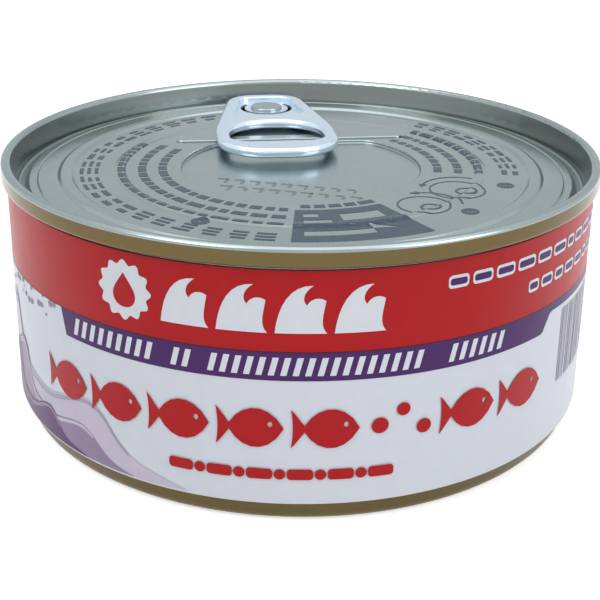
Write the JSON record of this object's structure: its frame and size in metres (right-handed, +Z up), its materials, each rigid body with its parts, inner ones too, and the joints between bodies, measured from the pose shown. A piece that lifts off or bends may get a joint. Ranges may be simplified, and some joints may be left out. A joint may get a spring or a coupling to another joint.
{
  "type": "tuna can",
  "caption": "Round low steel food can with a seamed easy-open lid, a ring pull tab and a wrapped paper label in red, violet and white.",
  "frame": {"origin": "centre of the foot ring, on the surface that the can stands on", "axes": "+Z up along the can's axis, -Y towards the front of the label, the pull tab's nose towards +Y"},
  "size_m": [0.0873, 0.0872, 0.038],
  "materials": {
    "body_steel": "satin gold lacquer on tinplate",
    "lid_steel": "glossy clear lacquer on tinplate",
    "tab_metal": "bright rolled metal",
    "label_paper": "glossy printed paper"
  },
  "bodies": {
    "root": {"can_body": "body_steel", "lid": "lid_steel", "pull_tab": "tab_metal", "label": "label_paper"}
  },
  "joints": []
}
